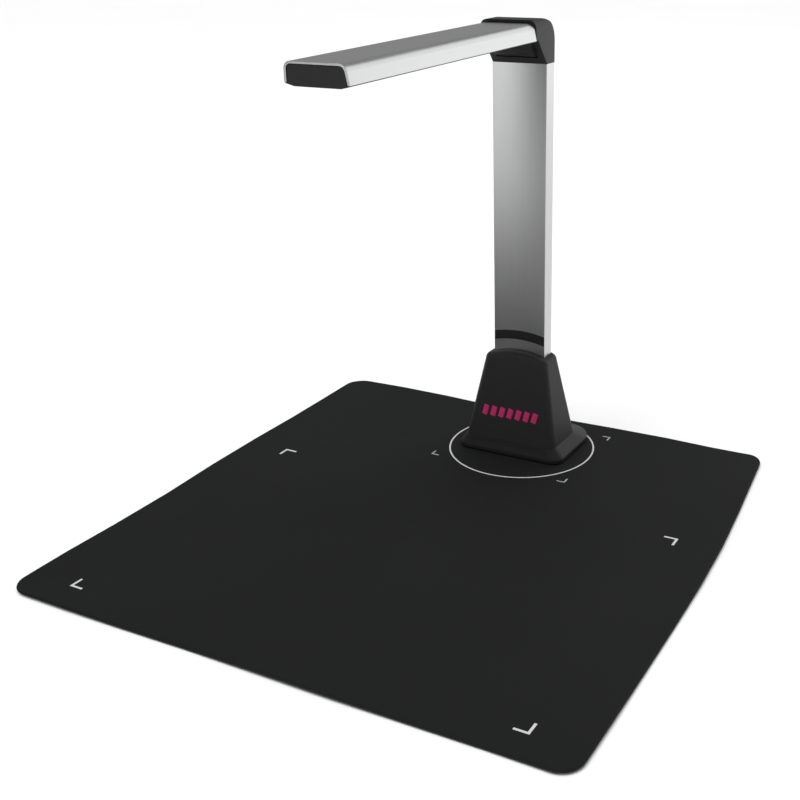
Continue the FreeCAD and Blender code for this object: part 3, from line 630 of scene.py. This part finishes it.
def arm_path(inset):
    """x and z along the section from the right lower edge, over the top, to the left one: a
    straight side, a quarter circle of the shoulder's radius less the inset, and the flat top."""
    turn = np.radians(np.linspace(0, 90, 12))
    middle, radius = side_half - shoulder, shoulder - inset
    arc_x = middle + radius * np.cos(turn)
    arc_z = arm_high[2] - shoulder + radius * np.sin(turn)
    low_x, low_z = arm_high[0] - inset, arm_low[2] + 0 * inset
    side = np.array([0.0, 0.04, 0.5, 0.96])
    side_x = low_x + side * (arc_x[..., :1] - low_x)
    side_z = low_z + side * (arc_z[..., :1] - low_z)
    top_x = middle * np.array([0.97, 0.7, 0.35])
    top_z = arc_z[..., -1:] + 0 * top_x
    right = [side_x, arc_x, top_x + 0 * inset]
    rise = [side_z, arc_z, top_z]
    half_x, half_z = np.concatenate(right, axis=-1), np.concatenate(rise, axis=-1)
    x = np.concatenate([half_x, 0 * half_x[..., :1], -half_x[..., ::-1]], axis=-1)
    z = np.concatenate([half_z, half_z[..., -1:], half_z[..., ::-1]], axis=-1)
    return x, z


def arm_y(along, z):
    """y of a place that far along the arm: the ends lean back as they go down."""
    return axis_y - along + (arm_high[2] - z) * lean


arm_rows = np.array([  # distance along the arm, inset
    (arm_start + 0.25, 0.0), (90.0, 0.0), (170.0, 0.0), (arm_reach - 0.5, 0.0), (arm_reach - 0.25, 0.0),
    (arm_reach - 0.06, 0.08), (arm_reach, 0.28), (arm_reach, arm_wall - 0.28),
    (arm_reach - 0.06, arm_wall - 0.08), (arm_reach - 0.25, arm_wall), (170.0, arm_wall),
    (arm_start + 0.25, arm_wall), (arm_start, arm_wall - 0.3), (arm_start, 0.3)])
along, inset = arm_rows[:, :1], arm_rows[:, 1:]
arm_x, arm_z = arm_path(inset)
middle_x, middle_z = arm_path(column_of(np.full(len(arm_rows), arm_wall / 2)))
arm_x = np.concatenate([middle_x[:, :1], arm_x, middle_x[:, -1:]], axis=1)
arm_z = np.concatenate([middle_z[:, :1], arm_z, middle_z[:, -1:]], axis=1)
arm_grid = stack(arm_x, arm_y(along, arm_z), arm_z)
arm = piece_from("arm", [(np.swapaxes(arm_grid, 0, 1), "open")], "arm", arm_metal)
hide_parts("arm_profile")


# %% [markdown]
# ## The end cap
# A moulded cap closes the arm's tip. Inside the aluminium it has the channel's inner section, and
# below the aluminium it takes over the bevelled underside. Its outline is star-shaped, so each
# face can be closed with triangles that meet in the middle.

# %% End cap surface
cap_low = span("arm_end_cap")[0]
cap_gap = 1.65  # the channel's wall, and the play round the plug
cap_x, cap_z = arm_path(np.array([cap_gap]))
under_x = np.array([-1.0, -1.0, -1.0, -0.993, -0.72, -0.36, 0.0, 0.36, 0.72, 0.993, 1.0, 1.0, 1.0]) * 20.8
under_z = np.array([1.95, 1.85, 1.6, 1.45, 0.02, 0.0, 0.0, 0.0, 0.02, 1.45, 1.6, 1.85, 1.95]) + cap_low[2]
cap_x, cap_z = np.concatenate([cap_x, under_x]), np.concatenate([cap_z, under_z])
cap_middle = np.array([0.0, (cap_low[2] + arm_high[2]) / 2])
cap_rows = np.array([  # distance along the arm, share of the outline's size
    (arm_reach - 3.0, 1.0), (arm_reach - 0.7, 1.0), (arm_reach - 0.25, 0.992), (arm_reach - 0.03, 0.968),
    (arm_reach + 0.0, 0.93), (arm_reach - 0.12, 0.6)])
along, share = cap_rows[:, :1], cap_rows[:, 1:]
grid_x = cap_middle[0] + share * (cap_x - cap_middle[0])
grid_z = cap_middle[1] + share * (cap_z - cap_middle[1])
cap_grid = stack(grid_x, arm_y(along, grid_z), grid_z)
cap = piece_from("end_cap", [(cap_grid, "fan")], "arm", elbow_plastic, sharp=40)
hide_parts("arm_end_cap")


# %% [markdown]
# ## Parts whose shape is already right
# Some parts are full of holes, bosses and seats, and the engineering model already has them
# exactly. Its triangles are loose, so every facet would show. A merged copy shares its points, so
# that shading can run round the curves and stop at the edges sharper than thirty degrees.

# %% Smooth copies
def smooth_copy(node, body, finish):
    """The same shape with shared points and smooth curves, which stands in for the node."""
    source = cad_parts[node].data
    points = np.empty(len(source.vertices) * 3)
    source.vertices.foreach_get("co", points)
    corners = np.empty(len(source.loops), int)
    source.loops.foreach_get("vertex_index", corners)
    mesh = bpy.data.meshes.new(node + "_smooth")
    mesh.from_pydata(points.reshape(-1, 3), [], corners.reshape(-1, 3))
    weld(mesh)
    mesh.shade_smooth()
    mesh.set_sharp_from_angle(angle=math.radians(30))
    piece = finished(node + "_smooth", mesh, body, finish)
    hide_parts(node)
    return piece


smooth_copy("pedestal_shell", "stand", shell_plastic)
smooth_copy("elbow_housing", "stand", elbow_plastic)
smooth_copy("arm_under_cover", "arm", elbow_plastic)
smooth_copy("arm_knuckle", "arm", elbow_plastic)
smooth_copy("hinge_plug", "stand", elbow_plastic)


# %% [markdown]
# ## The mark on the pedestal
# The maker printed a coloured mark across the front of the pedestal. Here it is a plain row of
# slanted bars, which stands for no word. Each bar is the same ribbon as the marks on the mat, laid
# on the sloping front face instead: across stays x, and up the bar moves along the slope.

# %% Mark of slanted bars
crease_front, top_front = ring[1] - 21.0, ring[1] - 9.0
top_z = ring[2] + 80.2
slope = (top_front - crease_front) / (top_z - crease_z)
mark_z, mark_height, mark_slant = ring[2] + 33.6, 7.4, 1.7
bar_width, bar_pitch = 4.3, 6.9


def on_front(grid):
    """Lays a grid on the pedestal's front: y is the face's y at that height, less the ink's height."""
    x, z = grid[..., 0], grid[..., 1]
    return stack(x, crease_front + slope * (z - crease_z) - grid[..., 2], z)


bars = [(on_front(ribbon([(x - mark_slant / 2, mark_z - mark_height / 2),
                          (x + mark_slant / 2, mark_z + mark_height / 2)], bar_width, 0.12)), "fan")
        for x in bar_pitch * (np.arange(7) - 3.0)]
piece_from("mark_of_bars", bars, "stand", magenta_ink, weighted=False)


# %% [markdown]
# ## Finishes for everything else
# The remaining parts keep the engineering model's own shape. Each gets the finish of its real
# material, made from the same few patterns: turned metal, castings, paint, film, boards and glass.

# %% Metals
def plain_metal(name, base, rough, grain=2500.0, height=0.006, metallic=1.0):
    finish = Finish(name)
    fine, broad = finish.noise(grain, 2.0), finish.noise(140.0, 3.0)
    colour = finish.mix(broad, grey(base * 0.85), grey(base * 1.1))
    return finish.shade({"Base Color": colour, "Metallic": metallic,
                         "Roughness": rough + 0.12 * fine + 0.06 * broad}, fine, height * mm)


zinc_screw = plain_metal("zinc_plated_steel", 0.50, 0.24)
pin_metal = plain_metal("ground_steel", 0.52, 0.18)
socket_metal = plain_metal("plated_socket_steel", 0.62, 0.20)
iron = plain_metal("bare_cast_iron", 0.16, 0.55, 700.0, 0.05, 0.8)
zinc = plain_metal("zinc_casting", 0.48, 0.38, 1200.0, 0.02)


# %% Paint, rubber, nylon and small plastics
def matt_surface(name, low, high, rough, grain=1600.0, height=0.015, gloss=0.4):
    finish = Finish(name)
    fine, broad = finish.noise(grain, 2.0), finish.noise(90.0, 2.0)
    colour = finish.mix(0.5 * fine + 0.5 * broad, low, high)
    return finish.shade({"Base Color": colour, "Roughness": rough + 0.12 * fine,
                         "Specular IOR Level": gloss}, fine, height * mm)


powder_coat = matt_surface("black_powder_coat", grey(0.012), grey(0.022), 0.5, 1100.0, 0.03)
foot_rubber = matt_surface("soft_dark_rubber", grey(0.02), grey(0.034), 0.72, 900.0, 0.03, 0.25)
nylon = matt_surface("black_nylon", grey(0.012), grey(0.02), 0.4)
barrel_black = matt_surface("matt_black_barrel", grey(0.008), grey(0.014), 0.6)
switch_plastic = matt_surface("switch_plastic", grey(0.02), grey(0.03), 0.35)
button_plastic = matt_surface("grey_button", grey(0.17), grey(0.21), 0.38, 2200.0, 0.01)


# %% [markdown]
# ## Boards, film and glass
# A circuit board is green lacquer over copper: the tracks show as slightly lighter lines, which a
# coarse cell pattern suggests. A flat cable is a pale film with its conductors showing through as
# stripes. The window and the lens are smooth and dark, and their brightness is all reflection.

# %% Boards, film and glass
def circuit_lacquer():
    finish = Finish("green_board_lacquer")
    tracks = finish.step(finish.cells(420.0), 0.28, 0.34)
    fine = finish.noise(2400.0, 2.0)
    colour = finish.mix(tracks, (0.012, 0.085, 0.035, 1.0), (0.02, 0.14, 0.055, 1.0))
    return finish.shade({"Base Color": colour, "Roughness": 0.24 + 0.1 * fine}, tracks, 0.03 * mm)


def flat_film():
    finish = Finish("flat_cable_film")
    across = finish.add("ShaderNodeSeparateXYZ", {}, {"Vector": finish.place}, "X")
    stripe_pitch = 1.0 * mm
    stripes = finish.step(finish.sine(across * (2 * math.pi / stripe_pitch)), -0.2, 0.2)
    colour = finish.mix(stripes, (0.62, 0.58, 0.46, 1.0), (0.36, 0.35, 0.33, 1.0))
    return finish.shade({"Base Color": colour, "Roughness": 0.3 + 0.1 * finish.noise(1500.0)},
                        stripes, 0.02 * mm)


def glass(name, tint, smooth, clear):
    finish = Finish(name)
    film = finish.noise(45.0, 2.0)
    colour = finish.mix(film, tint, tuple(0.85 * c for c in tint[:3]) + (1.0,))
    return finish.shade({"Base Color": colour, "Roughness": smooth + 0.03 * film,
                         "Transmission Weight": clear, "IOR": 1.5})


def milky_acrylic():
    finish = Finish("milky_acrylic")
    frost = finish.noise(3200.0, 2.0)
    colour = finish.mix(frost, grey(0.74, -0.01), grey(0.84, -0.01))
    return finish.shade({"Base Color": colour, "Roughness": 0.42 + 0.15 * frost,
                         "Transmission Weight": 0.35, "IOR": 1.49}, frost, 0.01 * mm)


def led_phosphor():
    finish = Finish("yellow_led")
    speckle = finish.noise(4000.0, 2.0)
    colour = finish.mix(speckle, (0.80, 0.62, 0.10, 1.0), (0.9, 0.8, 0.35, 1.0))
    return finish.shade({"Base Color": colour, "Roughness": 0.3 + 0.1 * speckle})


board = circuit_lacquer()
film = flat_film()
window = glass("smoked_window", (0.30, 0.32, 0.34, 1.0), 0.02, 0.85)
lens = glass("coated_lens", (0.28, 0.30, 0.42, 1.0), 0.01, 0.6)
acrylic = milky_acrylic()
phosphor = led_phosphor()


# %% [markdown]
# ## Dressing the engineering parts
# A part's object already has a material slot, or none. Clearing the slots and adding the finish is
# all that is needed; its mesh and its place stay as the engineering model gave them.

# %% Finish for each remaining part
finish_of = {
    "base_floor_plate": powder_coat, "base_rubber_pads": foot_rubber, "base_screws": zinc_screw,
    "ballast_weight": iron, "column_socket": zinc, "socket_screws": zinc_screw,
    "column_foot_screws": zinc_screw, "column_ribbon_cable": film, "usb_board": board,
    "usb_board_screws": zinc_screw, "usb_socket": socket_metal, "elbow_screws": zinc_screw,
    "hinge_pin": pin_metal, "friction_washers": nylon, "knuckle_screws": zinc_screw,
    "cover_screws": zinc_screw, "camera_board": board, "camera_board_screws": zinc_screw,
    "lens_holder": barrel_black, "lens_barrel": barrel_black, "front_lens": lens,
    "camera_window": window, "light_board": board, "light_board_screws": zinc_screw,
    "leds": phosphor, "light_switch": switch_plastic, "light_diffuser": acrylic,
    "arm_ribbon_cable": film, "light_button": button_plastic,
}
for node, finish in finish_of.items():
    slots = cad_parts[node].data.materials
    slots.clear()
    slots.append(finish)
print("dressed", len(finish_of), "engineering parts")


# %% [markdown]
# ## The floor
# A pale floor carries the soft shadow that makes the object stand there and not hover. It lies a
# fifth of a millimetre below the mat, because two surfaces in one place flicker against each other.

# %% Floor
def pale_floor():
    finish = Finish("pale_floor")
    drift = finish.noise(3.0, 2.0)
    return finish.shade({"Base Color": finish.mix(drift, grey(0.88), grey(0.90)),
                         "Roughness": 0.75 + 0.1 * drift, "Specular IOR Level": 0.2})


def studio_sheets(name, corners, material):
    """Four-sided sheets that belong to the studio and not to the object, four corners for each."""
    mesh = bpy.data.meshes.new(name)
    mesh.from_pydata(corners, [], np.arange(len(corners)).reshape(-1, 4))
    mesh.materials.append(material)
    sheet = bpy.data.objects.new(name, mesh)
    bpy.context.scene.collection.objects.link(sheet)
    return sheet


floor_half, floor_z = 12.0, -0.2 * mm
floor_corners = [(-floor_half, -floor_half, floor_z), (floor_half, -floor_half, floor_z),
                 (floor_half, floor_half, floor_z), (-floor_half, floor_half, floor_z)]
floor = studio_sheets("floor", floor_corners, pale_floor())


# %% [markdown]
# ## Dark flags
# Bare metal shows its surroundings more than a colour of its own. In an even room the column would
# look flat, so two pieces of black felt stand where its front is turned: an upright one to the
# left, and one that lies on the floor. They show only in reflections, and throw no shadow.

# %% Dark flags
def at_bearing(degrees, distance, height):
    """A place that far from the column's foot; bearing 0 is straight in front, below 0 to the left."""
    turn = math.radians(degrees)
    return (distance * math.sin(turn), ring[1] * mm - distance * math.cos(turn), height)


standing = [at_bearing(-26, 1.25, 0), at_bearing(-80, 1.25, 0),
            at_bearing(-80, 1.25, 1.1), at_bearing(-26, 1.25, 1.1)]
lying = [at_bearing(15, 0.40, 0.002), at_bearing(15, 0.85, 0.002),
         at_bearing(-60, 0.95, 0.002), at_bearing(-60, 0.45, 0.002)]
black_felt = matt_surface("black_felt", grey(0.03), grey(0.05), 0.9)
flag = studio_sheets("dark_flags", standing + lying, black_felt)
flag.visible_camera = flag.visible_diffuse = flag.visible_shadow = False


# %% [markdown]
# ## The light
# The sky has two greys. A nearly white one is seen only by the camera, so that the floor runs out
# into a clean backdrop, and a darker one lights the object and shows in the metal. A broad sun
# whitens the floor evenly; it is kept out of reflections, where its disc would burn out the flat
# top of the arm. A panel in front gives the column its highlight, and one behind lights the sides.

# %% Light
scene = bpy.context.scene
scene.view_settings.view_transform = "Standard"
world = bpy.data.worlds.new("studio")
world.use_nodes = True
sky = Graph(world.node_tree)
seen = sky.add("ShaderNodeLightPath", output="Is Camera Ray")
sky_colour = sky.mix(seen, grey(0.335), grey(0.97))
even_light = sky.add("ShaderNodeBackground", {}, {"Color": sky_colour, "Strength": 1.0})
sky.add("ShaderNodeOutputWorld", {}, {"Surface": even_light}, output=None)
scene.world = world


def aimed(name, kind, place, aim, power, **settings):
    """A light at a place, turned so that its own -Z looks at the aim."""
    light = bpy.data.lights.new(name, kind)
    light.energy = power
    for key, value in settings.items():
        setattr(light, key, value)
    lamp = bpy.data.objects.new(name, light)
    bpy.context.scene.collection.objects.link(lamp)
    lamp.visible_camera = False
    place, aim = Vector(place), Vector(aim)
    turn = (aim - place).to_track_quat("-Z", "Y").to_matrix().to_4x4()
    lamp.matrix_world = Matrix.Translation(place) @ turn
    return lamp


broad_sun = aimed("broad_sun", "SUN", (-0.3, -0.5, 3.0), (0, 0, 0), 2.62, angle=math.radians(60))
broad_sun.visible_glossy = False
aimed("front_panel", "AREA", (-0.74, -2.05, 0.7), (0, 0.13, 0.25), 4.5,
      shape="RECTANGLE", size=0.6, size_y=1.2)
aimed("rear_panel", "AREA", (1.1, 2.4, 0.9), (0, 0.1, 0.3), 13.5,
      shape="RECTANGLE", size=2.4, size_y=1.8)
